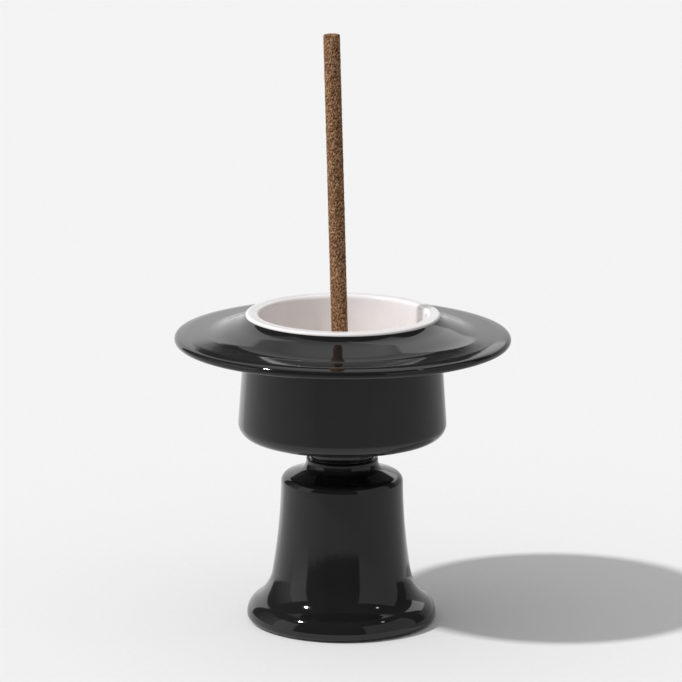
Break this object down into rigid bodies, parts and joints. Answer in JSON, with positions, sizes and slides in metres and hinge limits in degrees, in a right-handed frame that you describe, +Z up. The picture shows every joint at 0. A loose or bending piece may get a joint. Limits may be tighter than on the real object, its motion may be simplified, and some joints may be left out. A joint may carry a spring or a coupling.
{
  "type": "incense stick holder",
  "caption": "Glossy black incense stick holder with a flared bell foot, a wide-brimmed bowl, a white lift-out liner, a brass stick socket and a leaning incense stick.",
  "frame": {"origin": "on the turning axis of foot and bowl, at the surface that the holder stands on", "axes": "+Z up along the turning axis; the stick leans towards -X; the picture is taken from -Y"},
  "size_m": [0.0906, 0.0906, 0.1607],
  "materials": {
    "black_glaze": "gloss",
    "white_glaze": "gloss",
    "turned_brass": "satin",
    "plated_steel": "satin",
    "red_fibre": "matte",
    "gasket_rubber": "matte",
    "felt": "matte",
    "incense_paste": "matte"
  },
  "bodies": {
    "stand": {"foot_pad": "felt", "bell_foot": "black_glaze", "neck_gasket": "gasket_rubber", "brim_bowl": "black_glaze", "fibre_washers": "red_fibre", "tie_bolt": "plated_steel", "clamp_washer": "plated_steel", "clamp_nut": "plated_steel"},
    "liner": {"liner_cup": "white_glaze"},
    "socket": {"stick_socket": "turned_brass"},
    "stick": {"incense_stick": "incense_paste"}
  },
  "joints": [
    {"name": "liner_lift", "type": "slide", "parent": "stand", "child": "liner", "axis": [0, 0, 1], "range_m": [0, 0.03]},
    {"name": "socket_lift", "type": "slide", "parent": "liner", "child": "socket", "axis": [0, 0, 1], "range_m": [0, 0.026]},
    {"name": "stick_pull", "type": "slide", "parent": "socket", "child": "stick", "axis": [-0.0314, 0, 0.9995], "range_m": [0, 0.03]}
  ]
}
